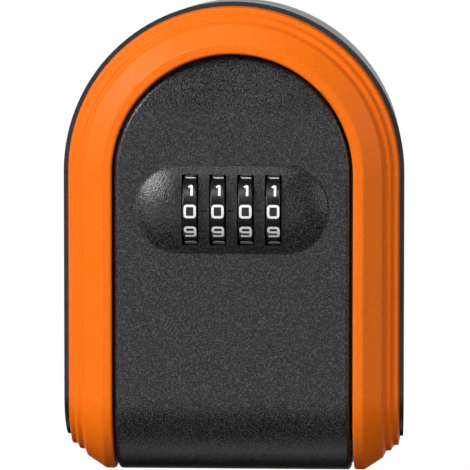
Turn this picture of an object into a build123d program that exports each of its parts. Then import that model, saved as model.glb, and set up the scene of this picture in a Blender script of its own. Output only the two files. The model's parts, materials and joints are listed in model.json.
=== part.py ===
# Wall key safe: an arched cast housing with a fold-down door and four code dials.
# X runs to the right, the front faces -Y, the wall is the plane Y = 0 and Z is up.
# The origin is the middle of the four wall screws, in the wall plane. Millimetres.
from math import cos, radians, sin
import os

from build123d import *

os.makedirs("parts", exist_ok=True)

# Overall form
body_depth = 45.0  # wall to the lip of the frame
arch_z = 16.5  # centre of the arch
bottom_drop = 65.2  # the door's underside below the wall screws' middle
wrap_radius = 21.0  # the front rolls round to the underside
front = -body_depth
wrap_y = front + wrap_radius
wrap_z = -bottom_drop + wrap_radius

# Clearances
pin_fit = 0.05  # radial, a pin or shaft in its bore
screw_fit = 0.05  # radial, a screw in its hole
sleeve_fit = 0.08  # radial, a code sleeve in its dial
free_gap = 0.3  # between pieces that pass each other
slot_gap = 0.2  # each side of a piece in its slot
seat_gap = 0.02  # between faces that rest on each other
sink = 0.5  # joined blocks run this far into each other

# Frame and housing
lip_radius = 32.2
lip_width, slope_width, step_width = 2.7, 5.0, 2.1
slope_depth, first_tread_depth, second_tread_depth = 3.3, 5.2, 6.7
slope_radius = lip_radius + lip_width + slope_width
first_tread_radius = slope_radius + step_width
second_tread_radius = first_tread_radius + step_width
riser_draft, skirt_draft = 0.85, 0.4
frame_depth = 9.2  # lip to the housing's front face
housing_step, housing_draft = 1.6, 1.5
housing_radius = second_tread_radius + housing_step
housing_rear_radius = housing_radius - housing_draft
housing_wall = 2.4
groove_inner, groove_width, groove_depth = lip_radius + 2.4, 2.2, 4.2
groove_outer = groove_inner + groove_width
tongue_gap = 0.15
frame_screw_circle = groove_outer + 1.9
frame_screw_reach = 4.6
frame_screw_angles, frame_screw_zs = (25, 90, 155), (-6.0, -34.0)
leg_end = -1.0

# Door
door_gap = 0.8
door_radius = lip_radius - door_gap
door_wall = 2.2
bend_drop, bend_radius, bend_angle = 16.15, 16.0, 14.0
bend_z = arch_z + door_radius - bend_drop
edge_round = 1.1
knuckle_radius, housing_knuckle_radius = 3.8, 3.4
hinge_y, hinge_z = -11.0, -bottom_drop + knuckle_radius
hinge_pin_radius = 1.5
rail_gap, rail_rise = 5.2, 0.5
knuckle_inner, knuckle_middle = 22.0, 5.0

# Key box inside the housing
seal_thickness, seal_width, seal_step = 1.4, 1.7, 0.4
seal_outer = door_radius - free_gap
seal_inner = seal_outer - seal_width
box_radius = seal_inner - seal_step
box_bottom = -34.0
box_floor = 2.8
box_corner = 5.0
screw_spacing_x, screw_spacing_z = 40.0, 48.0
wall_screw_radius = 2.75
rim_depth = frame_depth - seal_thickness - free_gap

# Dials and code sleeves
wheel_count = 4
dial_z = 7.2
dial_pitch = 7.4
codes = 10
wheel_radius, wheel_width = 9.6, 3.8
ridge_height, ridge_width, ridge_inset = 0.25, 0.9, 0.35
ridge_radius = wheel_radius + ridge_height
wheel_set = 4.2  # the dials' axis behind the lip
wheel_y = front + wheel_set
spindle_radius = 1.5
sleeve_radius, sleeve_before, stack_gap = 3.0, 2.0, 0.05
sleeve_after = dial_pitch - sleeve_before - stack_gap
spline_depth, spline_width, spline_end = 2.0, 1.3, -0.35
lug_height, lug_width = 1.85, 1.1
lug_start, lug_length = -1.75, 1.2
recess_radius, flange_radius = 5.2, 4.9
flange_start, flange_width = wheel_width / 2 + 0.9, 0.9
notch_width, notch_depth = 1.6, 1.6
reset_travel = 1.5
half_row = dial_pitch * (wheel_count - 1) / 2
stack_start, stack_end = -half_row - sleeve_before, half_row + sleeve_after

# Cheeks that hold the spindle, outside the sleeves and their coil
coil_room, coil_wall = 3.45, 1.0
cheek_inner, cheek_width, cheek_round = stack_end + coil_room, 1.5, 3.2
cheek_outer = cheek_inner + cheek_width

# Latch, drawn lifted clear of the striker
latch_lift = 2.5
latch_front = front + 3.4
latch_plate = 1.5
latch_rear = latch_front + latch_plate
strip_half = 6.0
neck_half = 4.0
yoke_inner = cheek_outer + 1.4
yoke_half, yoke_corner = yoke_inner + 2.4, 2.0
yoke_sill = dial_z - ridge_radius - 0.55
yoke_lintel = dial_z + ridge_radius + latch_lift + 0.65
yoke_bottom, yoke_top = yoke_sill - 4.8, yoke_lintel + 4.0
guide_width, low_guide_z, high_guide_z = 1.8, (-30.0, -24.0), (yoke_top + 2.3, yoke_top + 5.3)
tooth_width = 1.1
neck_step_z, neck_rear = bend_z + 0.75, latch_front + 6.6
hook_top, hook_thick, nose_drop = arch_z + box_radius - 1.4, 2.5, 2.4
nose_front, nose_length, nose_bevel = wheel_y + wheel_radius + 8.5, 2.5, 1.2
button_half_x, button_half_y, button_y = 5.6, 2.8, wrap_y + 4.6
button_proud, button_bore, button_head, button_round = 0.6, 2.6, 1.1, 0.5
latch_spring_x, latch_spring_radius, latch_wire = 8.2, 2.0, 0.45
spring_ear_half, spring_ear, spring_ear_rear = 2.4, 1.5, latch_front + 4.4
spring_seat_z, spring_seat = yoke_top + 9.8, 1.6

# Bracket that carries the dials
base_front = wheel_y + wheel_radius + 1.6
base_rear = base_front + 1.4
bracket_screw_x = 12.8
bracket_screw_low, bracket_screw_high = yoke_bottom - latch_lift - 2.7, yoke_top + 2.8
bracket_half, bracket_bottom, bracket_top = 15.5, bracket_screw_low - 2.4, bracket_screw_high + 2.6
keepers_z = [(yoke_top + 1.8, yoke_top + 4.0), (bracket_screw_low - 1.4, bracket_screw_low + 0.8)]
base_ear, fin_rise, fin_reach = 8.0, 4.0, 4.4
fin_half = (dial_pitch - wheel_width) / 2 - slot_gap
clip_radius, clip_width, clip_gap = 2.8, 0.5, 0.05
spring_leaf, spring_leaf_width = 0.3, 2.4
leaf_half, leaf_rise, leaf_height, leaf_bump = half_row + 1.9, 11.2, 3.2, 0.75

# Lever that sets a new code
lever_plate, lever_half, lever_proud, pusher_radius = 2.0, 2.0, 1.6, 2.7
lever_left = stack_start - 4.1

# Dial housing on the door
bump_sunk, wheel_proud = 21.5, 2.4
bump_radius = bump_sunk + wheel_radius - wheel_proud - wheel_set
bump_half = cheek_outer - 7.35
bump_wall = 2.0
bump_y = front + bump_sunk
window_side, window_corner = 0.35, 0.5
window_width, window_height = wheel_width + 2 * window_side, 2 * wheel_radius - slot_gap
mark_width, mark_height, mark_depth = 1.5, 0.5, 0.3
bump_foot_round = 1.5

# Cover over the lock
cover_radius, cover_wall = box_radius - 1.2, 1.2
cover_bottom, cover_rear = bracket_bottom - 2.4, base_rear + 3.0
cover_corner, cover_edge = 3.0, 1.0
cover_screw_high, cover_screw_low = (18.4, 31.4), (20.6, bracket_screw_low)
nose_room_z = hook_top - 6.1
boss_radius, bracket_bore, cover_bore = 2.0, 7.0, 9.0

# Catch and key pegs in the box
striker_half, striker_plate, striker_lip = 9.0, 2.0, 1.5
striker_lip_y = nose_front - 0.4 - striker_lip
striker_top = hook_top - 5.3
striker_shelf_z, striker_base_top = striker_top - 5.0, hook_top - 0.9
striker_screw_x, striker_screw_z, box_screw_bite = 5.0, striker_top + 1.0, 2.0
striker_bevel = 0.6
peg_radius, peg_length, peg_pitch, peg_z = 1.3, 14.0, 9.0, 27.0
peg_tip = 3.5
bar_half, bar_height, bar_plate, bar_corner = 13.0, 5.6, 1.5, 1.5

# Small screws, shared by all groups
shank_radius, head_radius, head_height = 1.1, 2.0, 1.3

wheel_xs = [dial_pitch * n - half_row for n in range(wheel_count)]
floor_front = -box_floor


def facing(y):
    """Plane that faces the front at this Y, with X to the right and Z up."""
    return Plane.XZ.offset(-y)


def arch_face(radius, bottom, corner=0.0):
    """A half circle on straight sides, as seen from the front."""
    with BuildLine() as rim:
        FilletPolyline(
            (radius, arch_z), (radius, bottom), (-radius, bottom), (-radius, arch_z), radius=corner
        )
        ThreePointArc((-radius, arch_z), (0, arch_z + radius), (radius, arch_z))
    make_face(rim.edges())


def section_face(outline, rounds, place):
    """A closed outline of (radius, depth) points, with a rounding for each corner."""
    with BuildLine() as rim:
        FilletPolyline(*[place(r, d) for r, d in outline], radius=rounds, close=True)
    make_face(rim.edges())


def horseshoe(outline, rounds, run_end):
    """Run a section round the arch, down the sides and under to the wall."""
    level = lambda r, d: (r, front + d)
    under = lambda r, d: (r, -bottom_drop + d)
    with BuildSketch(Plane.XY.offset(arch_z)) as high:
        section_face(outline, rounds, level)
    revolve(high.sketch, axis=Axis((0, 0, arch_z), (0, -1, 0)), revolution_arc=90)
    with BuildSketch(Plane.XY.offset(wrap_z)) as low:
        section_face(outline, rounds, level)
    extrude(low.sketch, amount=arch_z - wrap_z)
    revolve(low.sketch, axis=Axis((0, wrap_y, wrap_z), (1, 0, 0)), revolution_arc=90)
    with BuildSketch(facing(run_end)) as rear:
        section_face(outline, rounds, under)
    extrude(rear.sketch, amount=run_end - wrap_y)
    mirror(about=Plane.YZ)


def skin_line(inset, rear):
    """The door's front from the side, set in from its outer face, then back to rear."""
    lean = radians(bend_angle)
    bend_y = front + bend_radius
    skin = bend_radius - inset
    bend_end = (bend_y - skin * cos(lean), bend_z + skin * sin(lean))
    top = arch_z + door_radius + 1
    slope_top = (bend_end[0] + (top - bend_end[1]) * sin(lean) / cos(lean), top)
    Line((front + inset, wrap_z), (front + inset, bend_z))
    RadiusArc((front + inset, bend_z), bend_end, skin)
    Polyline(bend_end, slope_top, (rear, top), (rear, wrap_z))


def door_profile(inset, reach):
    """The door's skin from the side, set in from its outer face, and reach deep."""
    outer, inner = wrap_radius - inset, wrap_radius - reach
    with BuildLine() as side:
        skin_line(inset, front + reach)
        CenterArc((wrap_y, wrap_z), inner, 180, 90)
        Polyline(
            (wrap_y, wrap_z - inner),
            (hinge_y, wrap_z - inner),
            (hinge_y, wrap_z - outer),
            (wrap_y, wrap_z - outer),
        )
        CenterArc((wrap_y, wrap_z), outer, 180, 90)
    make_face(side.edges())


def barrel(radius, spans, y, z, mode=Mode.ADD):
    """Cylinders along X, one for each (start, end)."""
    for start, end in spans:
        with BuildSketch(Plane.YZ.offset(start)) as disc:
            with Locations((y, z)):
                Circle(radius)
        extrude(disc.sketch, amount=end - start, mode=mode)


def slab(x, y, z, mode=Mode.ADD):
    """A block between two X, two Y and two Z values."""
    with BuildSketch(facing(y[1])) as face:
        with Locations(((x[0] + x[1]) / 2, (z[0] + z[1]) / 2)):
            Rectangle(x[1] - x[0], z[1] - z[0])
    extrude(face.sketch, amount=y[1] - y[0], mode=mode)


def bores(places, radius, y, mode=Mode.SUBTRACT):
    """Round bores or studs along Y at each (x, z)."""
    with BuildSketch(facing(y[1])) as discs:
        with Locations(*places):
            Circle(radius)
    extrude(discs.sketch, amount=y[1] - y[0], mode=mode)


def screws(places, seat, tip):
    """Pan-head screws along Y: the head on the seat, the shank to the tip."""
    bores(places, shank_radius, (min(seat, tip), max(seat, tip)), Mode.ADD)
    head = seat + (head_height if seat > tip else -head_height)
    bores(places, head_radius, (min(seat, head), max(seat, head)), Mode.ADD)


def pair(x, z):
    """The same place on both sides of the middle."""
    return [(x, z), (-x, z)]


def finish(piece, name):
    piece.part.label = name
    export_step(piece.part, f"parts/{name}.step")


# Places that several pieces share
frame_screw_places = [
    (frame_screw_circle * cos(radians(a)), arch_z + frame_screw_circle * sin(radians(a)))
    for a in frame_screw_angles
] + [place for z in frame_screw_zs for place in pair(frame_screw_circle, z)]
wall_screw_places = [
    (x, z) for x in (-screw_spacing_x / 2, screw_spacing_x / 2)
    for z in (-screw_spacing_z / 2, screw_spacing_z / 2)
]
bracket_places = pair(bracket_screw_x, bracket_screw_low) + pair(bracket_screw_x, bracket_screw_high)
cover_places = pair(*cover_screw_high) + pair(*cover_screw_low)
striker_places = pair(striker_screw_x, striker_screw_z)
bar_places = pair(peg_pitch / 2, peg_z)
housing_front = front + frame_depth
housing_bottom = -bottom_drop + frame_depth
door_inner = front + door_wall
door_knuckles = [
    (-door_radius, -knuckle_inner),
    (-knuckle_middle, knuckle_middle),
    (knuckle_inner, door_radius),
]
housing_knuckles = [
    (door_knuckles[0][1] + free_gap, door_knuckles[1][0] - free_gap),
    (door_knuckles[1][1] + free_gap, door_knuckles[2][0] - free_gap),
]

# Housing: a drafted outer wall, open to the wall, round a box that is open to the front
tongue = [
    (groove_inner + tongue_gap, frame_depth + sink),
    (groove_inner + tongue_gap, frame_depth - groove_depth + tongue_gap),
    (groove_outer - tongue_gap, frame_depth - groove_depth + tongue_gap),
    (groove_outer - tongue_gap, frame_depth + sink),
]
with BuildPart() as body_shell:
    with BuildSketch(Plane.XY.offset(arch_z)):
        with BuildLine():
            Polyline(
                (0, housing_front), (housing_radius, housing_front),
                (housing_rear_radius, 0), (0, 0), close=True,
            )
        make_face()
    revolve(axis=Axis((0, 0, arch_z), (0, -1, 0)), revolution_arc=180)
    with BuildSketch(Plane.XY.offset(housing_bottom)):
        with BuildLine():
            Polyline(
                (-housing_radius, housing_front), (housing_radius, housing_front),
                (housing_rear_radius, 0), (-housing_rear_radius, 0), close=True,
            )
        make_face()
    extrude(amount=arch_z - housing_bottom)
    bottom_edges = edges().filter_by(Axis.X).group_by(Axis.Z)[0]
    fillet(bottom_edges.sort_by(Axis.Y)[0], wrap_radius - frame_depth)
    offset(amount=-housing_wall, openings=faces().sort_by(Axis.Y)[-1])
    with BuildSketch(facing(0)):
        arch_face(box_radius + housing_wall, box_bottom - housing_wall, box_corner + housing_wall)
    extrude(amount=-housing_front)
    with BuildSketch(facing(floor_front)):
        arch_face(box_radius, box_bottom, box_corner)
    extrude(amount=floor_front - housing_front, mode=Mode.SUBTRACT)
    rail_front = hinge_y + rail_gap
    slab((-door_radius, door_radius), (rail_front, 0), (-bottom_drop + rail_rise, housing_bottom + sink))
    for start, end in housing_knuckles:
        slab(
            (start, end),
            (hinge_y - housing_knuckle_radius, hinge_y + housing_knuckle_radius),
            (hinge_z, housing_bottom + sink),
        )
    barrel(housing_knuckle_radius, housing_knuckles, hinge_y, hinge_z)
    barrel(hinge_pin_radius + pin_fit, [(-door_radius, door_radius)], hinge_y, hinge_z, Mode.SUBTRACT)
    horseshoe(tongue, [0, 0.3, 0.3, 0], leg_end - sink)
    bores(wall_screw_places, wall_screw_radius, (floor_front, 0))
    bores(
        frame_screw_places, shank_radius + screw_fit,
        (front + slope_depth, housing_front + housing_wall),
    )
    bite_end = floor_front + box_screw_bite + slot_gap
    bores(striker_places + bar_places, shank_radius + screw_fit, (floor_front, bite_end))
finish(body_shell, "body_shell")

# Frame: a rounded lip, a sloped band and two steps down to the housing
frame_outline = [
    (lip_radius, frame_depth - seat_gap),
    (lip_radius, 0),
    (lip_radius + lip_width, 0),
    (slope_radius, slope_depth),
    (slope_radius + riser_draft, first_tread_depth - 0.1),
    (first_tread_radius, first_tread_depth),
    (first_tread_radius + riser_draft, second_tread_depth - 0.1),
    (second_tread_radius, second_tread_depth),
    (second_tread_radius + skirt_draft, frame_depth - seat_gap),
    (groove_outer, frame_depth - seat_gap),
    (groove_outer, frame_depth - groove_depth),
    (groove_inner, frame_depth - groove_depth),
    (groove_inner, frame_depth - seat_gap),
]
frame_rounds = [0, 0.7, 1.2, 0.45, 0.25, 0.35, 0.25, 0.4, 0, 0, 0.2, 0.2, 0]
with BuildPart() as front_frame:
    horseshoe(frame_outline, frame_rounds, leg_end)
    bores(
        frame_screw_places, shank_radius + screw_fit,
        (housing_front - frame_screw_reach - slot_gap, housing_front),
    )
finish(front_frame, "front_frame")

with BuildPart() as frame_screws:
    screw_seat = housing_front + housing_wall + seat_gap
    screws(frame_screw_places, screw_seat, housing_front - frame_screw_reach)
finish(frame_screws, "frame_screws")

with BuildPart() as door_seal:
    for radius, mode in ((seal_outer, Mode.ADD), (seal_inner, Mode.SUBTRACT)):
        beyond = radius - box_radius
        with BuildSketch(facing(housing_front - seat_gap)):
            arch_face(radius, box_bottom - beyond, box_corner + beyond)
        extrude(amount=seal_thickness, mode=mode)
finish(door_seal, "door_seal")

with BuildPart() as hinge_pin:
    barrel(hinge_pin_radius, [(-door_radius + slot_gap, door_radius - slot_gap)], hinge_y, hinge_z)
    chamfer(edges().filter_by(GeomType.CIRCLE), 0.3)
finish(hinge_pin, "hinge_pin")

# Catch: a plate on the box floor, a shelf and the lip that the latch drops behind
with BuildPart() as striker:
    plate_rear = floor_front - seat_gap
    slab(
        (-striker_half, striker_half), (plate_rear - striker_plate, plate_rear),
        (striker_shelf_z, striker_base_top),
    )
    slab(
        (-striker_half, striker_half), (striker_lip_y, plate_rear),
        (striker_shelf_z, striker_shelf_z + striker_plate),
    )
    slab(
        (-striker_half, striker_half), (striker_lip_y, striker_lip_y + striker_lip),
        (striker_shelf_z, striker_top),
    )
    bores(striker_places, shank_radius + screw_fit, (plate_rear - striker_plate, plate_rear))
    tip_edges = [e for e in edges().filter_by(Axis.X) if abs(e.center().Z - striker_top) < 0.01]
    chamfer(ShapeList(tip_edges).sort_by(Axis.Y)[0], striker_bevel)
finish(striker, "striker")

with BuildPart() as striker_screws:
    screws(striker_places, plate_rear - striker_plate - seat_gap, floor_front + box_screw_bite)
finish(striker_screws, "striker_screws")

with BuildPart() as key_hook_bar:
    slab(
        (-bar_half, bar_half), (plate_rear - bar_plate, plate_rear),
        (peg_z - bar_height / 2, peg_z + bar_height / 2),
    )
    fillet(edges().filter_by(Axis.Y), bar_corner)
    pegs = [(x, peg_z) for x in (-peg_pitch, 0, peg_pitch)]
    peg_end = plate_rear - bar_plate - peg_length
    bores(pegs, peg_radius, (peg_end, plate_rear - sink), Mode.ADD)
    for x, _ in pegs:
        with BuildSketch(Plane.XY.offset(peg_z)):
            with Locations((x, peg_end)):
                Circle(peg_radius)
        extrude(amount=peg_tip)
        with Locations((x, peg_end, peg_z)):
            Sphere(peg_radius)
    bores(bar_places, shank_radius + screw_fit, (plate_rear - bar_plate, plate_rear))
finish(key_hook_bar, "key_hook_bar")

with BuildPart() as hook_bar_screws:
    screws(bar_places, plate_rear - bar_plate - seat_gap, floor_front + box_screw_bite)
finish(hook_bar_screws, "hook_bar_screws")

# Door: a skin with a rim all round, rolled under to the hinge
with BuildPart() as door_hollow:
    with BuildSketch(Plane.YZ):
        door_profile(door_wall, rim_depth + 1)
    extrude(amount=door_radius - door_wall, both=True)
    with BuildSketch(facing(0)):
        arch_face(door_radius - door_wall, -bottom_drop - 1)
    extrude(amount=body_depth + 1, mode=Mode.INTERSECT)


def capsule(radius, rear):
    """The part of a round-ended bar along X that lies in front of rear."""
    barrel(radius, [(-bump_half, bump_half)], bump_y, dial_z)
    with Locations((-bump_half, bump_y, dial_z), (bump_half, bump_y, dial_z)):
        Sphere(radius)
    reach, rise = bump_half + radius + 1, radius + 1
    slab((-reach, reach), (bump_y - rise, rear), (dial_z - rise, dial_z + rise), Mode.INTERSECT)


with BuildPart() as bump:
    capsule(bump_radius, front + 1.0)
with BuildPart() as bump_hollow:
    capsule(bump_radius - bump_wall, door_inner + sink)

rib_z = (box_bottom - seal_outer + box_radius - free_gap, box_bottom)
cover_inner = cover_rear - cover_wall
with BuildPart() as door_panel:
    with BuildSketch(Plane.YZ):
        door_profile(0, rim_depth)
    extrude(amount=door_radius, both=True)
    with BuildSketch(facing(0)):
        arch_face(door_radius, -bottom_drop - 1)
    extrude(amount=body_depth + 1, mode=Mode.INTERSECT)
    skin = faces().filter_by(lambda f: f.normal_at().Y < -0.1 or f.normal_at().Z < -0.9)
    fillet(skin.edges().filter_by(Axis.X, reverse=True), edge_round)
    add(bump.part)
    foot = edges().filter_by(GeomType.CIRCLE).filter_by_position(Axis.Y, front - 0.01, front + 0.01)
    foot_lines = edges().filter_by(Axis.X).filter_by_position(Axis.Y, front - 0.01, front + 0.01)
    foot_lines = foot_lines.filter_by_position(Axis.Z, dial_z - bump_radius, dial_z + bump_radius)
    fillet(foot + foot_lines, bump_foot_round)
    add(door_hollow.part, mode=Mode.SUBTRACT)
    add(bump_hollow.part, mode=Mode.SUBTRACT)
    slab((-door_radius + 1, door_radius - 1), (door_inner - sink, front + rim_depth), rib_z)
    strip_room = strip_half + 2 * free_gap
    slab((-strip_room, strip_room), (door_inner, latch_rear + 2 * free_gap), rib_z, Mode.SUBTRACT)
    knuckle_gaps = [(start - free_gap, end + free_gap) for start, end in housing_knuckles]
    barrel(housing_knuckle_radius + free_gap, knuckle_gaps, hinge_y, hinge_z, Mode.SUBTRACT)
    barrel(knuckle_radius, door_knuckles, hinge_y, hinge_z)
    barrel(hinge_pin_radius + pin_fit, [(-door_radius, door_radius)], hinge_y, hinge_z, Mode.SUBTRACT)
    with BuildSketch(facing(door_inner)):
        with Locations(*[(x, dial_z) for x in wheel_xs]):
            RectangleRounded(window_width, window_height, window_corner)
    extrude(amount=door_wall + bump_radius - bump_sunk + 1, mode=Mode.SUBTRACT)
    crest = bump_sunk - bump_radius
    for x in wheel_xs[:-1]:
        mark_x = (x + dial_pitch / 2 - mark_width / 2, x + dial_pitch / 2 + mark_width / 2)
        mark_z = (dial_z - mark_height / 2, dial_z + mark_height / 2)
        slab(mark_x, (front + crest - 1, front + crest + mark_depth), mark_z, Mode.SUBTRACT)
    bores(bracket_places, boss_radius, (door_inner - sink, base_front - seat_gap), Mode.ADD)
    bores(cover_places, boss_radius, (door_inner - sink, cover_inner - seat_gap), Mode.ADD)
    bores(bracket_places, shank_radius + screw_fit, (base_front - bracket_bore, base_front))
    bores(cover_places, shank_radius + screw_fit, (cover_inner - cover_bore, cover_inner))
    for side in (-1, 1):
        low = sorted(side * (strip_half + slot_gap + w) for w in (0, guide_width))
        high = sorted(side * (neck_half + slot_gap + w) for w in (0, guide_width))
        slab(low, (door_inner - sink, latch_rear), low_guide_z)
        slab(high, (door_inner - sink, latch_rear), high_guide_z)
    seat_x = (latch_spring_x - spring_ear_half - slot_gap, latch_spring_x + spring_ear_half + slot_gap)
    slab(seat_x, (door_inner - sink, spring_ear_rear), (spring_seat_z, spring_seat_z + spring_seat))
    slab(
        (-button_half_x - slot_gap, button_half_x + slot_gap),
        (button_y - button_half_y - slot_gap, button_y + button_half_y + slot_gap),
        (-bottom_drop - 1, -bottom_drop + door_wall + 1), Mode.SUBTRACT,
    )
finish(door_panel, "door_panel")

# Cradle for the dials: a base, two cheeks, fins between the dials and two keepers
with BuildPart() as dial_bracket:
    slab((-bracket_half, bracket_half), (base_front, base_rear), (bracket_bottom, bracket_top))
    slab((-cheek_outer, cheek_outer), (base_front, base_rear), (dial_z - base_ear, dial_z + base_ear))
    for side in (-1, 1):
        cheek = sorted((side * cheek_inner, side * cheek_outer))
        slab(cheek, (wheel_y, base_rear), (dial_z - cheek_round, dial_z + cheek_round))
        barrel(cheek_round, [cheek], wheel_y, dial_z)
    for x in wheel_xs[:-1]:
        fin = (x + dial_pitch / 2 - fin_half, x + dial_pitch / 2 + fin_half)
        slab(fin, (base_front - fin_reach, base_front + sink), (dial_z - fin_rise, dial_z + fin_rise))
    for keeper_z in keepers_z:
        slab((-neck_half, neck_half), (latch_rear + slot_gap, base_front + sink), keeper_z)
    barrel(spindle_radius + pin_fit, [(-cheek_outer, cheek_outer)], wheel_y, dial_z, Mode.SUBTRACT)
    bores(bracket_places, shank_radius + screw_fit, (base_front, base_rear))
    lever_slot = (lever_left - slot_gap, lever_left + lever_plate + reset_travel + slot_gap)
    lever_room_z = (dial_z - lever_half - free_gap, dial_z + lever_half + free_gap)
    slab(lever_slot, (base_front, base_rear), lever_room_z, Mode.SUBTRACT)
finish(dial_bracket, "dial_bracket")

with BuildPart() as bracket_screws:
    screws(bracket_places, base_rear + seat_gap, base_front - bracket_bore + 1)
finish(bracket_screws, "bracket_screws")

with BuildPart() as dial_spindle:
    spindle_end = cheek_outer + 0.8
    barrel(spindle_radius, [(-spindle_end, spindle_end)], wheel_y, dial_z)
    chamfer(edges().filter_by(GeomType.CIRCLE), 0.2)
finish(dial_spindle, "dial_spindle")

with BuildPart() as spindle_clips:
    clip_start = cheek_outer + clip_gap
    clip_end = clip_start + clip_width
    spans = [(-clip_end, -clip_start), (clip_start, clip_end)]
    barrel(clip_radius, spans, wheel_y, dial_z)
    barrel(spindle_radius + seat_gap, spans, wheel_y, dial_z, Mode.SUBTRACT)
    mouth = spindle_radius * 0.8
    for span in spans:
        slab(span, (wheel_y, base_front), (dial_z - mouth, dial_z + mouth), Mode.SUBTRACT)
finish(spindle_clips, "spindle_clips")

with BuildPart() as detent_spring:
    leaf_y = (base_front - seat_gap - spring_leaf, base_front - seat_gap)
    leaf_z = (dial_z + leaf_rise, dial_z + leaf_rise + leaf_height)
    slab((-leaf_half, leaf_half), leaf_y, leaf_z)
    for x in wheel_xs:
        finger = (x - spring_leaf_width / 2, x + spring_leaf_width / 2)
        slab(finger, leaf_y, (dial_z - leaf_bump, leaf_z[0] + sink))
        barrel(leaf_bump, [finger], leaf_y[0], dial_z)
    behind = (leaf_y[1], leaf_y[1] + 1)
    slab((-leaf_half, leaf_half), behind, (dial_z - 1, dial_z + 1), Mode.SUBTRACT)
finish(detent_spring, "detent_spring")

# Dials, each with ten faces, and the notched sleeve inside each one
for n, x in enumerate(wheel_xs, 1):
    left, right = x - wheel_width / 2, x + wheel_width / 2
    with BuildPart() as wheel:
        barrel(wheel_radius, [(left, right)], wheel_y, dial_z)
        fillet(edges().filter_by(GeomType.CIRCLE), 0.3)
        with BuildSketch(Plane.YZ.offset(left + ridge_inset)):
            with Locations((wheel_y, dial_z)):
                with PolarLocations(ridge_radius - sink, codes, start_angle=180 / codes):
                    Rectangle(2 * sink, ridge_width)
        extrude(amount=wheel_width - 2 * ridge_inset)
        barrel(sleeve_radius + sleeve_fit, [(left, right)], wheel_y, dial_z, Mode.SUBTRACT)
        with BuildSketch(Plane.YZ.offset(left)):
            with Locations((wheel_y, dial_z)):
                with PolarLocations(sleeve_radius + spline_depth / 2, codes):
                    Rectangle(spline_depth, spline_width)
        extrude(amount=x + spline_end - left, mode=Mode.SUBTRACT)
        barrel(recess_radius, [(x + spline_end, right)], wheel_y, dial_z, Mode.SUBTRACT)
    finish(wheel, f"number_wheel_{n}")
    with BuildPart() as sleeve:
        barrel(sleeve_radius, [(x - sleeve_before, x + sleeve_after)], wheel_y, dial_z)
        barrel(flange_radius, [(x + flange_start, x + flange_start + flange_width)], wheel_y, dial_z)
        with BuildSketch(Plane.YZ.offset(x + lug_start)):
            with Locations((wheel_y, dial_z)):
                with PolarLocations(sleeve_radius + (lug_height - sink) / 2, 2):
                    Rectangle(lug_height + sink, lug_width)
        extrude(amount=lug_length)
        flange_x = (x + flange_start - 0.1, x + flange_start + flange_width + 0.1)
        slab(
            flange_x, (wheel_y - notch_width / 2, wheel_y + notch_width / 2),
            (dial_z - flange_radius - 0.1, dial_z - flange_radius + notch_depth), Mode.SUBTRACT,
        )
        barrel(
            spindle_radius + pin_fit, [(x - sleeve_before, x + sleeve_after)],
            wheel_y, dial_z, Mode.SUBTRACT,
        )
    finish(sleeve, f"code_sleeve_{n}")

with BuildPart() as sleeve_spring:
    coil_inner = spindle_radius + slot_gap
    barrel(coil_inner + coil_wall, [(stack_end + seat_gap, cheek_inner - seat_gap)], wheel_y, dial_z)
    barrel(coil_inner, [(stack_end, cheek_inner)], wheel_y, dial_z, Mode.SUBTRACT)
finish(sleeve_spring, "sleeve_spring")

# Lever that shifts the sleeves out of the dials to set a new code
with BuildPart() as reset_lever:
    lever_right = lever_left + lever_plate
    lever_z = (dial_z - lever_half, dial_z + lever_half)
    slab((lever_left, lever_right), (wheel_y, cover_rear + lever_proud), lever_z)
    barrel(pusher_radius, [(lever_left, stack_start - pin_fit)], wheel_y, dial_z)
    barrel(spindle_radius + pin_fit, [(lever_left, stack_start)], wheel_y, dial_z, Mode.SUBTRACT)
finish(reset_lever, "reset_lever")

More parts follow.
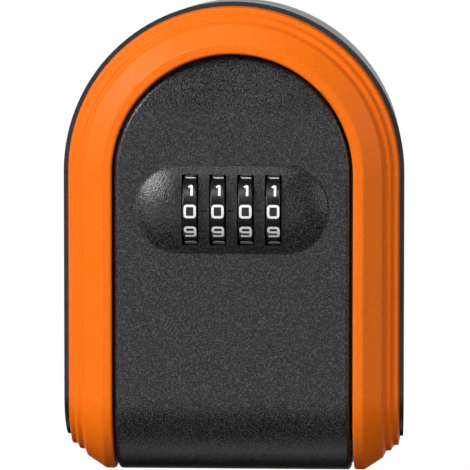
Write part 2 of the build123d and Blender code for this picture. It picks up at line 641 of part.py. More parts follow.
# Latch: one stamped plate with a hook, a comb below the dials and a push strip
latch_z = wrap_z + latch_lift
with BuildPart() as latch_slide:
    plate_y = (latch_front, latch_rear)
    nose_end = nose_front + nose_length
    slab((-yoke_half, yoke_half), plate_y, (yoke_bottom, yoke_top))
    fillet(edges().filter_by(Axis.Y), yoke_corner)
    slab((-yoke_inner, yoke_inner), plate_y, (yoke_sill, yoke_lintel), Mode.SUBTRACT)
    slab((-neck_half, neck_half), plate_y, (yoke_top - 1, neck_step_z))
    step_z = (neck_step_z - latch_plate, neck_step_z)
    slab((-neck_half, neck_half), (latch_front, neck_rear), step_z)
    slab((-neck_half, neck_half), (neck_rear - latch_plate, neck_rear), (step_z[0], hook_top))
    tooth_top = dial_z - flange_radius - free_gap
    for x in wheel_xs:
        middle = x + flange_start + flange_width / 2
        slab((middle - tooth_width / 2, middle + tooth_width / 2), plate_y, (yoke_sill - 1, tooth_top))
    slab((-neck_half, neck_half), (neck_rear - latch_plate, nose_end), (hook_top - hook_thick, hook_top))
    nose_z = hook_top - hook_thick - nose_drop
    slab((-neck_half, neck_half), (nose_front, nose_end), (nose_z, hook_top))
    nose_edges = edges().filter_by(Axis.X).filter_by_position(Axis.Z, nose_z - 0.01, nose_z + 0.01)
    chamfer(nose_edges.sort_by(Axis.Y)[0:1], nose_bevel)
    slab(
        (latch_spring_x - spring_ear_half, latch_spring_x + spring_ear_half),
        (latch_front, spring_ear_rear), (yoke_top - spring_ear, yoke_top),
    )
    strip_outer, strip_inner = latch_front - wrap_y, latch_rear - wrap_y
    leg_y = button_y + button_half_y
    with BuildSketch(Plane.YZ):
        with BuildLine():
            Polyline(
                (latch_front, latch_z), (latch_front, yoke_bottom + 1),
                (latch_rear, yoke_bottom + 1), (latch_rear, latch_z),
            )
            CenterArc((wrap_y, latch_z), -strip_inner, 180, 90)
            Polyline(
                (wrap_y, latch_z + strip_inner), (leg_y, latch_z + strip_inner),
                (leg_y, latch_z + strip_outer), (wrap_y, latch_z + strip_outer),
            )
            CenterArc((wrap_y, latch_z), -strip_outer, 180, 90)
        make_face()
    extrude(amount=strip_half, both=True)
    leg_top, leg_bottom = latch_z + strip_inner, latch_z + strip_outer
    with BuildSketch(Plane.XY.offset(leg_bottom)):
        with Locations((0, button_y)):
            Circle(shank_radius + screw_fit)
    extrude(amount=leg_top - leg_bottom, mode=Mode.SUBTRACT)
finish(latch_slide, "latch_slide")

button_bottom = -bottom_drop - button_proud + latch_lift
with BuildPart() as release_button:
    button_top = leg_bottom - seat_gap
    slab(
        (-button_half_x, button_half_x), (button_y - button_half_y, button_y + button_half_y),
        (button_bottom, button_top),
    )
    fillet(edges().group_by(Axis.Z)[0], button_round)
    with BuildSketch(Plane.XY.offset(button_top)):
        with Locations((0, button_y)):
            Circle(shank_radius + screw_fit)
    extrude(amount=seat_gap - button_bore, mode=Mode.SUBTRACT)
finish(release_button, "release_button")

with BuildPart() as button_screw:
    with BuildSketch(Plane.XY.offset(leg_top + seat_gap)):
        with Locations((0, button_y)):
            Circle(head_radius)
    extrude(amount=button_head)
    with BuildSketch(Plane.XY.offset(leg_top + seat_gap)):
        with Locations((0, button_y)):
            Circle(shank_radius)
    extrude(amount=-latch_plate - button_bore + slot_gap)
finish(button_screw, "button_screw")

with BuildPart() as latch_spring:
    with BuildSketch(Plane.XY.offset(yoke_top + seat_gap)):
        with Locations((latch_spring_x, (latch_front + spring_ear_rear) / 2)):
            Circle(latch_spring_radius)
            Circle(latch_spring_radius - latch_wire, mode=Mode.SUBTRACT)
    extrude(amount=spring_seat_z - yoke_top - 2 * seat_gap)
finish(latch_spring, "latch_spring")

# Cover: a tray over the lock on the door's inside
with BuildPart() as lock_cover:
    with BuildSketch(facing(cover_rear)):
        arch_face(cover_radius, cover_bottom, cover_corner)
    extrude(amount=cover_rear - door_inner)
    fillet(edges().group_by(Axis.Y)[-1], cover_edge)
    offset(amount=-cover_wall, openings=faces().sort_by(Axis.Y)[0])
    with BuildSketch(Plane.YZ):
        with BuildLine():
            skin_line(door_wall + free_gap, 0)
            Line((0, wrap_z), (door_inner + free_gap, wrap_z))
        make_face()
    extrude(amount=cover_radius + 1, both=True, mode=Mode.INTERSECT)
    hook_room = neck_half + 4 * free_gap
    slab((-hook_room, hook_room), (front, 0), (nose_room_z, hook_top + 2), Mode.SUBTRACT)
    slab(
        (-strip_room, strip_room), (front, latch_rear + 2 * free_gap),
        (cover_bottom - 1, cover_bottom + cover_wall + slot_gap), Mode.SUBTRACT,
    )
    slab(lever_slot, (cover_inner, cover_rear), lever_room_z, Mode.SUBTRACT)
    bores(cover_places, shank_radius + screw_fit, (cover_inner, cover_rear))
finish(lock_cover, "lock_cover")

with BuildPart() as cover_screws:
    screws(cover_places, cover_rear + seat_gap, cover_inner - cover_bore + 1)
finish(cover_screws, "cover_screws")
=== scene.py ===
import json
import math

import bmesh
import bpy
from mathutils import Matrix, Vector
from mathutils.bvhtree import BVHTree


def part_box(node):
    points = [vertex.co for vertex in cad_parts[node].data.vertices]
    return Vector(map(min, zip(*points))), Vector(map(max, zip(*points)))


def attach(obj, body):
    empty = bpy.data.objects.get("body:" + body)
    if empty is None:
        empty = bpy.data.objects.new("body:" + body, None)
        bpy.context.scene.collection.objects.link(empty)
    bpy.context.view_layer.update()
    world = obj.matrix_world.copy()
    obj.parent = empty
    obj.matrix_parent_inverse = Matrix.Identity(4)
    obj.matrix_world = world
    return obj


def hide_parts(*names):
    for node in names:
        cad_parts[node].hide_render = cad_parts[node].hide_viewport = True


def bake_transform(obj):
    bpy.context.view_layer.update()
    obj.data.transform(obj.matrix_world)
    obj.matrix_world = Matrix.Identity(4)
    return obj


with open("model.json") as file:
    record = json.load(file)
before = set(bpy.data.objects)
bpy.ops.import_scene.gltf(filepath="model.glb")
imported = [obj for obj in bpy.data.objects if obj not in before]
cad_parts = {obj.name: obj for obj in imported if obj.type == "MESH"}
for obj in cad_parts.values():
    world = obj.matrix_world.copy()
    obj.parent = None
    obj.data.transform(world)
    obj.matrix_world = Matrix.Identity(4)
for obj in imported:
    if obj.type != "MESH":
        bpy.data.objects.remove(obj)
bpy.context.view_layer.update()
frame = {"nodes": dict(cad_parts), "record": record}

# Wall key safe, looks only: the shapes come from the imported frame, in metres.
mm = 0.001
nodes = frame["nodes"]
print("frame loaded with", len(nodes), "nodes")


# sRGB hex to the linear colour that the shader wants
def linearColor(hexText):
    values = [int(hexText[i:i + 2], 16) / 255 for i in (0, 2, 4)]
    return [v / 12.92 if v <= 0.04045 else ((v + 0.055) / 1.055) ** 2.4 for v in values] + [1.0]


# One node with its settings and what feeds it, as {input: (node, output)}; inputs go by name or number
def addNode(tree, kind, settings=None, links=None):
    node = tree.nodes.new(kind)
    for name, value in (settings or {}).items():
        if isinstance(name, str) and hasattr(node, name):
            setattr(node, name, value)
        else:
            node.inputs[name].default_value = value
    for name, (source, output) in (links or {}).items():
        tree.links.new(source.outputs[output], node.inputs[name])
    return node


# What a finish has unless it says otherwise; a noise goes from 0 to 1, and colour and roughness
# change over the part of it that is named here
plainLook = {"metallic": 0.0, "specular": 0.5, "colorFrom": 0.45, "colorTo": 0.85,
             "stretch": (1, 1, 1), "grainDetail": 2.0, "grainRoughness": 0.6,
             "patchDetail": 3.0, "patchShare": 0.3, "patchLow": 0.3, "patchHigh": 0.7}


# A finish from two noises: patches some millimetres wide and the surface's own grain
def makeFinish(name, ownLook):
    look = {**plainLook, **ownLook}
    material = bpy.data.materials.new(name)
    material.use_nodes = True
    tree = material.node_tree
    tree.nodes.clear()
    where = addNode(tree, "ShaderNodeTexCoord")
    stretched = addNode(tree, "ShaderNodeMapping", {"Scale": look["stretch"]},
                        {"Vector": (where, "Object")})
    grain = addNode(tree, "ShaderNodeTexNoise",
                    {"Scale": 1 / (look["grainSize"] * mm), "Detail": look["grainDetail"],
                     "Roughness": look["grainRoughness"]},
                    {"Vector": (stretched, "Vector")})
    patches = addNode(tree, "ShaderNodeTexNoise",
                      {"Scale": 1 / (look["patchSize"] * mm), "Detail": look["patchDetail"]},
                      {"Vector": (where, "Object")})
    spread = addNode(tree, "ShaderNodeMath", {"operation": "MULTIPLY_ADD", 1: look["patchShare"]},
                     {0: (patches, "Fac"), 2: (grain, "Fac")})
    shade = addNode(tree, "ShaderNodeMapRange",
                    {"From Min": look["colorFrom"], "From Max": look["colorTo"]},
                    {"Value": (spread, "Value")})
    color = addNode(tree, "ShaderNodeMix",
                    {"data_type": "RGBA", 6: linearColor(look["dark"]), 7: linearColor(look["light"])},
                    {"Factor": (shade, "Result")})
    rough = addNode(tree, "ShaderNodeMapRange",
                    {"From Min": look["patchLow"], "From Max": look["patchHigh"],
                     "To Min": look["roughness"][0], "To Max": look["roughness"][1]},
                    {"Value": (patches, "Fac")})
    bump = addNode(tree, "ShaderNodeBump",
                   {"Strength": look["grainStrength"], "Distance": look["grainHeight"] * mm},
                   {"Height": (grain, "Fac")})
    skin = addNode(tree, "ShaderNodeBsdfPrincipled",
                   {"Metallic": look["metallic"], "Specular IOR Level": look["specular"]},
                   {"Base Color": (color, 2), "Roughness": (rough, "Result"), "Normal": (bump, "Normal")})
    addNode(tree, "ShaderNodeOutputMaterial", {}, {"Surface": (skin, "BSDF")})
    return material


# Finishes, each named for what the real one is, with sizes in mm. Real grain is finer than a pixel of
# the render, so every grain here is drawn as coarse as it needs to show.
finishes = {
    # fine-texture powder coat on cast zinc: dark grey, with an even grain that breaks up the shine
    "texturedPowderCoat": {"slot": "grey_texture", "dark": "030303", "light": "484749",
                           "colorFrom": 0.45, "colorTo": 0.84, "roughness": (0.27, 0.33),
                           "grainSize": 0.32, "grainDetail": 0.0, "grainStrength": 1.0,
                           "grainHeight": 0.08, "patchSize": 14, "patchShare": 0.08},
    # satin powder coat on the cast housing: near-black, with a soft sheen along its edges
    "satinPowderCoat": {"slot": "black_coat", "dark": "111112", "light": "2C2C2E",
                        "colorFrom": 0.52, "colorTo": 0.85, "roughness": (0.34, 0.44),
                        "grainSize": 0.6, "grainDetail": 1.0, "grainStrength": 0.7, "grainHeight": 0.06,
                        "patchSize": 12, "patchShare": 0.12},
    # moulded ABS from a spark-eroded tool: even colour and a soft broad shine
    "mouldedOrangeAbs": {"slot": "orange_plastic", "dark": "F26800", "light": "FC7A04",
                         "colorFrom": 0.4, "colorTo": 0.95, "roughness": (0.42, 0.52), "specular": 0.22,
                         "grainSize": 0.55, "grainStrength": 0.6, "grainHeight": 0.07,
                         "patchSize": 18, "patchShare": 0.35},
    # acetal dials moulded in a polished tool: even black with a clear shine
    "glossAcetal": {"slot": "black_gloss", "dark": "0A0A0B", "light": "151517", "roughness": (0.26, 0.38),
                    "grainSize": 0.6, "grainStrength": 0.12, "grainHeight": 0.03, "patchSize": 3},
    # moulded nylon inside the door: even black and dull
    "mouldedNylon": {"slot": "black_plastic", "dark": "161617", "light": "232325",
                     "roughness": (0.5, 0.65), "grainSize": 0.6, "grainDetail": 1.0, "grainStrength": 0.7,
                     "grainHeight": 0.07, "patchSize": 9},
    # bright zinc plate on stamped steel, with the faint lines of rolling
    "zincPlate": {"slot": "zinc_plate", "dark": "A6A7A4", "light": "CFCFC9", "metallic": 1.0,
                  "roughness": (0.28, 0.42), "stretch": (1, 1, 0.12), "grainSize": 0.35,
                  "grainStrength": 0.15, "grainHeight": 0.02, "patchSize": 5},
    # drawn spring steel: bright, and a little darker than zinc
    "springSteel": {"slot": "spring_steel", "dark": "8E9092", "light": "B4B6B8", "metallic": 1.0,
                    "roughness": (0.2, 0.32), "grainSize": 0.3, "grainStrength": 0.1,
                    "grainHeight": 0.01, "patchSize": 4},
    # phosphated steel: turned, then dipped to a dull near-black that holds oil
    "phosphatedSteel": {"slot": "dark_steel", "dark": "141415", "light": "2A2A2C", "metallic": 0.6,
                        "roughness": (0.42, 0.58), "stretch": (8, 1, 1), "grainSize": 0.8,
                        "grainStrength": 0.2, "grainHeight": 0.02, "patchSize": 4},
    # extruded rubber seal: black and matt
    "sealRubber": {"slot": "black_rubber", "dark": "111111", "light": "1C1C1C", "roughness": (0.7, 0.85),
                   "grainSize": 0.35, "grainStrength": 0.35, "grainHeight": 0.06, "patchSize": 7},
    # white enamel filled into the numbers: even white with a soft shine
    "numberEnamel": {"slot": "black_gloss", "dark": "EEEEEC", "light": "FBFBF9", "roughness": (0.35, 0.5),
                     "grainSize": 0.3, "grainStrength": 0.12, "grainHeight": 0.02, "patchSize": 2},
}
materials = {name: makeFinish(name, look) for name, look in finishes.items()}
bySlot = {look["slot"]: materials[name] for name, look in finishes.items() if name != "numberEnamel"}
slotOf = {part["node"]: part["material_slot"] for part in frame["record"]["subparts"]}
bodyOf = {node: body for body, group in frame["record"]["behaviour"]["bodies"].items() for node in group}
for name, shown in nodes.items():
    shown.data.materials.clear()
    shown.data.materials.append(bySlot[slotOf[name]])
print("finishes on", len(nodes), "nodes")


# A mesh as an object that rides on a body, with its finish
def newPiece(name, mesh, body, finish, smooth=True):
    mesh.materials.append(materials[finish])
    for face in mesh.polygons:
        face.use_smooth = smooth
    piece = bpy.data.objects.new(name, mesh)
    bpy.context.scene.collection.objects.link(piece)
    if body:
        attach(piece, body)
    return piece


# The mesh of closed forms, with its faces turned outward
def meshFrom(forms, name):
    bmesh.ops.recalc_face_normals(forms, faces=forms.faces)
    mesh = bpy.data.meshes.new(name)
    forms.to_mesh(mesh)
    forms.free()
    return mesh


# A skin over rings of as many vertices each, closed at both ends
def closeRings(forms, rings):
    for a, b in zip(rings, rings[1:]):
        for k in range(len(a)):
            forms.faces.new((a[k], a[(k + 1) % len(a)], b[(k + 1) % len(a)], b[k]))
    forms.faces.new(rings[0])
    forms.faces.new(rings[-1])


# Numbers on the dials: strokes of one width, bent round the dial, with the figures' own sizes in mm
dialLook = {"radius": 9.6 * mm, "y": -40.8 * mm, "z": 7.2 * mm, "pitch": 7.4 * mm, "count": 4,
            "faces": 10, "proud": 0.05 * mm, "sunk": 0.15 * mm}
numberLook = {"halfWidth": 1.32, "halfHeight": 1.5, "aside": 0.12, "stroke": 0.66, "corner": 0.62,
              "steps": 5, "longest": 0.35}
w, h = numberLook["halfWidth"], numberLook["halfHeight"]
inner = w - numberLook["stroke"] / 2  # where a bar meets the side of an upright
# each figure's strokes, as points about its middle
strokes = {
    0: [("ring", [(-w, -h), (w, -h), (w, h), (-w, h)])],
    1: [("line", [(-0.45, h - 0.75), (0.42, h - 0.05), (0.42, -h - 0.3)])],
    2: [("line", [(-w, h), (w, h), (w, 0), (-w, 0), (-w, -h), (w, -h)])],
    3: [("line", [(-w, h), (w, h), (w, -h), (-w, -h)]), ("line", [(-w + 0.4, 0), (inner, 0)])],
    4: [("line", [(-w, h + 0.3), (-w, -0.3), (inner, -0.3)]), ("line", [(w, h + 0.3), (w, -h - 0.3)])],
    5: [("line", [(w, h), (-w, h), (-w, 0), (w, 0), (w, -h), (-w, -h)])],
    6: [("line", [(w, h), (-w, h), (-w, -h), (w, -h), (w, 0), (-inner, 0)])],
    7: [("line", [(-w, h), (w, h), (-0.3, -h - 0.3)])],
    8: [("ring", [(-w, -h), (w, -h), (w, h), (-w, h)]), ("line", [(-inner, 0), (inner, 0)])],
    9: [("line", [(-w, -h), (w, -h), (w, h), (-w, h), (-w, 0), (inner, 0)])],
}


# The points with their corners rounded and long runs divided, so that they bend with the dial
def roundedPath(points, closed):
    corner, steps = numberLook["corner"], numberLook["steps"]
    points = [Vector(p) for p in points]
    path, count, longest = [], len(points), numberLook["longest"]
    for i, here in enumerate(points):
        if not closed and i in (0, count - 1):
            path.append(here)
            continue
        before, after = points[i - 1] - here, points[(i + 1) % count] - here
        reach = min(corner, before.length / 2, after.length / 2)
        start, end = here + before.normalized() * reach, here + after.normalized() * reach
        for step in range(steps + 1):
            t = step / steps
            path.append(start * (1 - t) ** 2 + here * 2 * t * (1 - t) + end * t ** 2)
    fine = []
    for here, after in zip(path, path[1:] + path[:1]):
        cuts = max(1, math.ceil((after - here).length / longest))
        fine += [here.lerp(after, k / cuts) for k in range(cuts)]
    return fine if closed else fine[:fine.index(path[-1]) + 1]


# A band along the path, with sides that sink into the dial
def addStroke(mesh, path, closed, place):
    count, half = len(path), numberLook["stroke"] / 2
    rows = []
    for i, here in enumerate(path):
        before = path[i - 1] if closed or i else here
        after = path[(i + 1) % count] if closed or i < count - 1 else here
        along = (after - before).normalized()
        side = Vector((-along.y, along.x)) * half
        edges = ((here + side, False), (here + side, True), (here - side, True), (here - side, False))
        rows.append([mesh.verts.new(place(point, top)) for point, top in edges])
    pairs = list(zip(rows, rows[1:] + rows[:1])) if closed else list(zip(rows, rows[1:]))
    for a, b in pairs:
        for k in range(3):
            mesh.faces.new((a[k], a[k + 1], b[k + 1], b[k]))
    if not closed:
        mesh.faces.new(rows[0][::-1])
        mesh.faces.new(rows[-1])


# Wraps a flat point round one dial, on its surface or sunk into it
def dialPlace(dialX, angle):
    def place(point, top):
        radius = dialLook["radius"] + (dialLook["proud"] if top else -dialLook["sunk"])
        turn = angle + point.y * mm / dialLook["radius"]
        return (dialX + (point.x + numberLook["aside"]) * mm,
                dialLook["y"] - radius * math.cos(turn), dialLook["z"] + radius * math.sin(turn))
    return place


for dial in range(dialLook["count"]):
    dialX = (dial - (dialLook["count"] - 1) / 2) * dialLook["pitch"]
    bands = bmesh.new()
    for number, parts in strokes.items():
        angle = 2 * math.pi * number / dialLook["faces"]
        for kind, points in parts:
            closed = kind == "ring"
            addStroke(bands, roundedPath(points, closed), closed, dialPlace(dialX, angle))
    name = f"numbers{dial + 1}"
    newPiece(name, meshFrom(bands, name), f"dial_{dial + 1}", "numberEnamel", smooth=False)
print("numbers drawn on the dials")


# Coil springs in place of the plain sleeves that stand for them, with each wire's radius
springLook = {"latchWire": 0.26 * mm, "latchTurns": 7.5, "codeWire": 0.22 * mm, "codeTurns": 5.5,
              "steps": 28, "sides": 10, "flatTurn": 0.6}


# A coil from start to end of this outer radius, with its last turns pressed flat
def windCoil(name, start, end, outer, wire, turns):
    axis = Vector(end) - Vector(start)
    free = axis.length - 2 * wire
    axis.normalize()
    aside = axis.orthogonal().normalized()
    across = axis.cross(aside)
    steps, sides = springLook["steps"], springLook["sides"]
    total, flat = int(turns * steps), springLook["flatTurn"] * steps
    coil = bmesh.new()
    rings = []
    for i in range(total + 1):
        turn = 2 * math.pi * i / steps
        t = min(max((i - flat) / (total - 2 * flat), 0), 1)
        out = aside * math.cos(turn) + across * math.sin(turn)
        middle = Vector(start) + axis * (wire + free * t) + out * (outer - wire)
        rings.append([coil.verts.new(middle + (out * math.cos(a) + axis * math.sin(a)) * wire)
                      for a in (2 * math.pi * k / sides for k in range(sides))])
    closeRings(coil, rings)
    return newPiece(name, meshFrom(coil, name), None, "springSteel")


low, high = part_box("latch_spring")
middleX, middleY = (low.x + high.x) / 2, (low.y + high.y) / 2
latchEnds = (middleX, middleY, high.z), (middleX, middleY, low.z)
latchCoil = windCoil("latchCoil", *latchEnds, (high.x - low.x) / 2,
                     springLook["latchWire"], springLook["latchTurns"])
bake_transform(latchCoil)
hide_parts("latch_spring")
low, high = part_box("sleeve_spring")
middleY, middleZ = (low.y + high.y) / 2, (low.z + high.z) / 2
codeEnds = (low.x, middleY, middleZ), (high.x, middleY, middleZ)
codeCoil = windCoil("codeCoil", *codeEnds, (high.z - low.z) / 2,
                    springLook["codeWire"], springLook["codeTurns"])
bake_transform(codeCoil)
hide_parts("sleeve_spring")
print("coils wound")

# Screws: pan heads with a cross recess and ring threads, each on the axis of the plain one it stands
# for. The dome, the arms and the recess are in shares of the head's radius and height.
# In the plain ones' mesh, points nearer than together, a little over a head's width, are one screw.
# Its head is the points past the rim's share, and its shank is read in the layer at its tip.
screwLook = {"sides": 32, "threadPitch": 0.7 * mm, "threadDepth": 0.2 * mm, "threadStart": 0.25,
             "crest": 0.5, "sharpAngle": 30,
             "dome": [(1.0, 0.0), (1.0, 0.35), (0.985, 0.52), (0.93, 0.7), (0.8, 0.86), (0.6, 0.96),
                      (0.3, 1.0)],
             "armReach": 0.58, "armWidth": 0.13, "recess": 0.7, "recessTaper": 0.55, "overcut": 0.1,
             "together": 4.08 * mm, "rim": 0.8, "tipLayer": 0.05 * mm}
screwAxes = {"frame_screws": 1, "striker_screws": 1, "hook_bar_screws": 1, "bracket_screws": 1,
             "cover_screws": 1, "button_screw": 2}  # 1 is along Y and 2 along Z
corners = ((1, 1), (-1, 1), (-1, -1), (1, -1))


# How far apart two points are across a screw's axis
def apart(one, other, flat):
    return math.dist([one[i] for i in flat], [other[i] for i in flat])


# Each screw of a node as its middle, axis, seat, crown, tip and radii, read from the node's own mesh
def screwsOf(node):
    axis = screwAxes[node]
    flat = [i for i in range(3) if i != axis]
    across = [Vector([1.0 if i == k else 0.0 for i in range(3)]) for k in flat]
    groups = []
    for vertex in nodes[node].data.vertices:
        point = vertex.co.copy()
        near = [group for group in groups if apart(point, group[0], flat) < screwLook["together"]]
        if near:
            near[0].append(point)
        else:
            groups.append([point])
    found = []
    for group in groups:
        middle = Vector([(min(p[i] for p in group) + max(p[i] for p in group)) / 2 for i in range(3)])
        away = [apart(point, middle, flat) for point in group]
        head = [p[axis] for p, far in zip(group, away) if far > screwLook["rim"] * max(away)]
        low, high = min(p[axis] for p in group), max(p[axis] for p in group)
        headIsHigh = abs(max(head) - high) < abs(min(head) - low)
        seat, crown, tip = (min(head), max(head), low) if headIsHigh else (max(head), min(head), high)
        shank = max(far for p, far in zip(group, away) if abs(p[axis] - tip) < screwLook["tipLayer"])
        found.append({"middle": middle, "axis": axis, "across": across, "seat": seat, "crown": crown,
                      "tip": tip, "head": max(away), "shank": shank})
    return found


# The point of a screw's axis that lies this far along it
def onAxis(screw, along):
    point = screw["middle"].copy()
    point[screw["axis"]] = along
    return point


# A ring of vertices round a screw's axis
def ringAt(forms, screw, radius, along):
    middle, (aside, across) = onAxis(screw, along), screw["across"]
    turns = [2 * math.pi * k / screwLook["sides"] for k in range(screwLook["sides"])]
    return [forms.verts.new(middle + radius * (aside * math.cos(a) + across * math.sin(a))) for a in turns]


# One arm of the cross, as a tapered bar that is cut out of the head
def addArm(forms, screw, turned):
    across = screw["across"]
    length, width = screw["head"] * screwLook["armReach"], screw["head"] * screwLook["armWidth"]
    depth = (screw["crown"] - screw["seat"]) * screwLook["recess"]
    floor, top = screw["crown"] - depth, screw["crown"] + screwLook["overcut"] * depth
    rows = []
    for along, taper in ((floor, screwLook["recessTaper"]), (top, 1.0)):
        middle = onAxis(screw, along)
        long, short = across[turned] * length * taper, across[1 - turned] * width
        rows.append([forms.verts.new(middle + a * long + b * short) for a, b in corners])
    closeRings(forms, rows)


for node in screwAxes:
    blank, arms = bmesh.new(), (bmesh.new(), bmesh.new())
    for screw in screwsOf(node):
        height, run = screw["crown"] - screw["seat"], screw["tip"] - screw["seat"]
        rings = [ringAt(blank, screw, r * screw["head"], screw["seat"] + h * height)
                 for r, h in screwLook["dome"][::-1]]
        root = screw["shank"] - screwLook["threadDepth"]
        count = int(abs(run) / screwLook["threadPitch"])
        for k in range(count):
            at = screw["seat"] + run * (k + screwLook["threadStart"]) / count
            rings.append(ringAt(blank, screw, root, at))
            rings.append(ringAt(blank, screw, screw["shank"], at + screwLook["crest"] * run / count))
        rings.append(ringAt(blank, screw, root, screw["tip"]))
        closeRings(blank, rings)
        for turned in (0, 1):
            addArm(arms[turned], screw, turned)
    made = []
    for name, forms in ((node + "_blank", blank), (node + "_arm0", arms[0]), (node + "_arm1", arms[1])):
        made.append(bpy.data.objects.new(name, meshFrom(forms, name)))
        bpy.context.scene.collection.objects.link(made[-1])
    for cutter in made[1:]:
        cross = made[0].modifiers.new(cutter.name, "BOOLEAN")
        cross.operation, cross.object, cross.solver = "DIFFERENCE", cutter, "EXACT"
    graph = bpy.context.evaluated_depsgraph_get()
    cutMesh = bpy.data.meshes.new_from_object(made[0].evaluated_get(graph))
    for thing in made:
        bpy.data.objects.remove(thing)
    cutMesh.materials.clear()
    cutMesh.name = node + "_cross"
    piece = newPiece(node + "_cross", cutMesh, bodyOf[node], "zincPlate")
    cutMesh.set_sharp_from_angle(angle=math.radians(screwLook["sharpAngle"]))
    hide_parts(node)
print("screws cut")

# Raised marks between the windows, level with the figures that are read
markLook = {"length": 1.7 * mm, "height": 0.5 * mm, "proud": 0.28 * mm, "sunk": 0.3 * mm, "taper": 0.5}
panelMesh = nodes["door_panel"].data
panelTree = BVHTree.FromPolygons([vertex.co for vertex in panelMesh.vertices],
                                 [face.vertices for face in panelMesh.polygons])
marks = bmesh.new()
for gap in range(dialLook["count"] - 1):
    middleX = (gap + 1 - dialLook["count"] / 2) * dialLook["pitch"]
    face = panelTree.ray_cast(Vector((middleX, -1, dialLook["z"])), Vector((0, 1, 0)))[0].y
    rows = []
    for y, share in ((face + markLook["sunk"], 1.0), (face, 1.0),
                     (face - markLook["proud"], markLook["taper"])):
        length, height = markLook["length"] / 2 * share, markLook["height"] / 2 * share
        rows.append([marks.verts.new((middleX + a * length, y, dialLook["z"] + b * height))
                     for a, b in corners])
    closeRings(marks, rows)
newPiece("readingMarks", meshFrom(marks, "readingMarks"), "door", "texturedPowderCoat", smooth=False)
print("reading marks set")

# Camera: a long lens, a little above and to the right of straight on
viewLook = {"azimuth": 3.0, "elevation": 5.9, "distance": 1.6, "aim": (0.8 * mm, -45 * mm, 0.44 * mm),
            "width": 125.3 * mm, "sensor": 36.0, "near": 0.01, "far": 20}


# The place at this bearing from aim, in degrees: 0, 0 is straight in front
def around(aim, azimuth, elevation, distance):
    a, e = math.radians(azimuth), math.radians(elevation)
    toward = Vector((math.sin(a) * math.cos(e), -math.cos(a) * math.cos(e), math.sin(e)))
    return Vector(aim) + distance * toward


# Turns the camera or a lamp to face aim
def pointAt(thing, aim):
    thing.rotation_euler = (Vector(aim) - thing.location).to_track_quat("-Z", "Y").to_euler()


cameraData = bpy.data.cameras.new("camera")
cameraData.sensor_width = viewLook["sensor"]
cameraData.lens = viewLook["sensor"] * viewLook["distance"] / viewLook["width"]
cameraData.clip_start, cameraData.clip_end = viewLook["near"], viewLook["far"]
camera = bpy.data.objects.new("camera", cameraData)
bpy.context.scene.collection.objects.link(camera)
camera.location = around(viewLook["aim"], viewLook["azimuth"], viewLook["elevation"], viewLook["distance"])
pointAt(camera, viewLook["aim"])
bpy.context.scene.camera = camera

# Soft boxes, as bearings in degrees, distance and size in metres and power in watts
lampAim = (0, -20 * mm, 0)
softBoxes = {
    "keyBox": {"azimuth": -45, "elevation": 28, "distance": 1.2, "size": 0.5, "power": 12.5},
    "leftBox": {"azimuth": -40, "elevation": -8, "distance": 1.5, "size": 0.6, "power": 2.0},
    "frontBox": {"azimuth": -3, "elevation": -6, "distance": 1.9, "size": 1.0, "power": 3.7},
    "topBox": {"azimuth": -5, "elevation": 56, "distance": 1.2, "size": 0.4, "power": 2.2},
    "rightBox": {"azimuth": 58, "elevation": 12, "distance": 1.5, "size": 0.8, "power": 5.2},
}
for name, box in softBoxes.items():
    lampData = bpy.data.lights.new(name, "AREA")
    lampData.shape, lampData.size, lampData.energy = "SQUARE", box["size"], box["power"]
    lamp = bpy.data.objects.new(name, lampData)
    bpy.context.scene.collection.objects.link(lamp)
    lamp.location = around(lampAim, box["azimuth"], box["elevation"], box["distance"])
    pointAt(lamp, lampAim)

# White to the camera all round; a gloss sees white behind the object, dark under it and grey in front.
# A direction counts as behind by its Y and as above by its Z, each from a first to a full value.
room = {"grey": 0.12, "under": 0.01, "white": 1.0, "behind": (-0.1, 0.35), "above": (-0.5, 0.0)}
world = bpy.data.worlds.new("studio")
bpy.context.scene.world = world
world.use_nodes = True
tree = world.node_tree
tree.nodes.clear()
rays = addNode(tree, "ShaderNodeLightPath")
toward = addNode(tree, "ShaderNodeTexCoord")
parts = addNode(tree, "ShaderNodeSeparateXYZ", {}, {"Vector": (toward, "Generated")})
behind = addNode(tree, "ShaderNodeMapRange",
                 {"From Min": room["behind"][0], "From Max": room["behind"][1]}, {"Value": (parts, "Y")})
above = addNode(tree, "ShaderNodeMapRange",
                {"From Min": room["above"][0], "From Max": room["above"][1]}, {"Value": (parts, "Z")})
wall = addNode(tree, "ShaderNodeMath", {"operation": "MULTIPLY"},
               {0: (behind, "Result"), 1: (above, "Result")})
seen = addNode(tree, "ShaderNodeMath", {"operation": "MAXIMUM"},
               {0: (rays, "Is Glossy Ray"), 1: (rays, "Is Transmission Ray")})
seenBehind = addNode(tree, "ShaderNodeMath", {"operation": "MULTIPLY"},
                     {0: (seen, "Value"), 1: (wall, "Value")})
share = addNode(tree, "ShaderNodeMath", {"operation": "MAXIMUM"},
                {0: (rays, "Is Camera Ray"), 1: (seenBehind, "Value")})
below = addNode(tree, "ShaderNodeMath", {"operation": "SUBTRACT", 0: 1.0}, {1: (above, "Result")})
under = addNode(tree, "ShaderNodeMath", {"operation": "MULTIPLY"},
                {0: (behind, "Result"), 1: (below, "Value")})
seenUnder = addNode(tree, "ShaderNodeMath", {"operation": "MULTIPLY"},
                    {0: (seen, "Value"), 1: (under, "Value")})
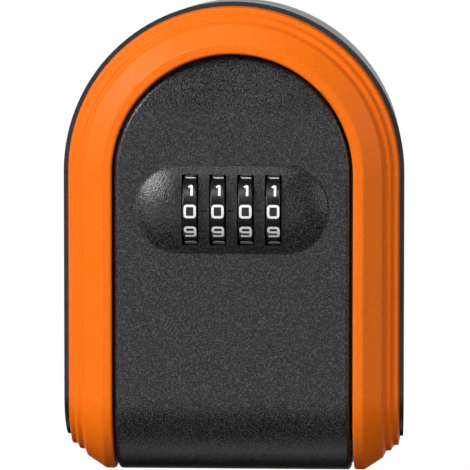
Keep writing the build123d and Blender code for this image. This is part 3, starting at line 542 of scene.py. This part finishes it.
strength = addNode(tree, "ShaderNodeMath",
                   {"operation": "MULTIPLY_ADD", 1: room["under"] - room["grey"], 2: room["grey"]},
                   {0: (seenUnder, "Value")})
grey = addNode(tree, "ShaderNodeBackground", {"Color": (1, 1, 1, 1)}, {"Strength": (strength, "Value")})
white = addNode(tree, "ShaderNodeBackground", {"Color": (1, 1, 1, 1), "Strength": room["white"]})
mixed = addNode(tree, "ShaderNodeMixShader", {},
                {0: (share, "Value"), 1: (grey, "Background"), 2: (white, "Background")})
addNode(tree, "ShaderNodeOutputWorld", {}, {"Surface": (mixed, "Shader")})

# Pale floor, well below: the safe hangs on a wall
floorLook = {"drop": 1.8, "size": 0.8, "color": "E8E8E6", "white": 1.0}
floorMesh = bpy.data.meshes.new("floor")
half, level = floorLook["size"] / 2, -floorLook["drop"]
floorMesh.from_pydata([(-half, -half, level), (half, -half, level),
                       (half, half, level), (-half, half, level)], [], [(0, 1, 2, 3)])
floor = bpy.data.objects.new("floor", floorMesh)
bpy.context.scene.collection.objects.link(floor)
floorPaint = bpy.data.materials.new("paleFloor")
floorPaint.use_nodes = True
tree = floorPaint.node_tree
tree.nodes.clear()
rays = addNode(tree, "ShaderNodeLightPath")
seen = addNode(tree, "ShaderNodeMath", {"operation": "MAXIMUM"},
               {0: (rays, "Is Glossy Ray"), 1: (rays, "Is Transmission Ray")})
share = addNode(tree, "ShaderNodeMath", {"operation": "MAXIMUM"},
                {0: (rays, "Is Camera Ray"), 1: (seen, "Value")})
paint = addNode(tree, "ShaderNodeBsdfDiffuse", {"Color": linearColor(floorLook["color"])})
glow = addNode(tree, "ShaderNodeEmission", {"Strength": floorLook["white"]})
mixed = addNode(tree, "ShaderNodeMixShader", {},
                {0: (share, "Value"), 1: (paint, "BSDF"), 2: (glow, "Emission")})
addNode(tree, "ShaderNodeOutputMaterial", {}, {"Surface": (mixed, "Shader")})
floorMesh.materials.append(floorPaint)

bpy.context.scene.view_settings.view_transform = "Standard"
print("camera, lights and floor set")
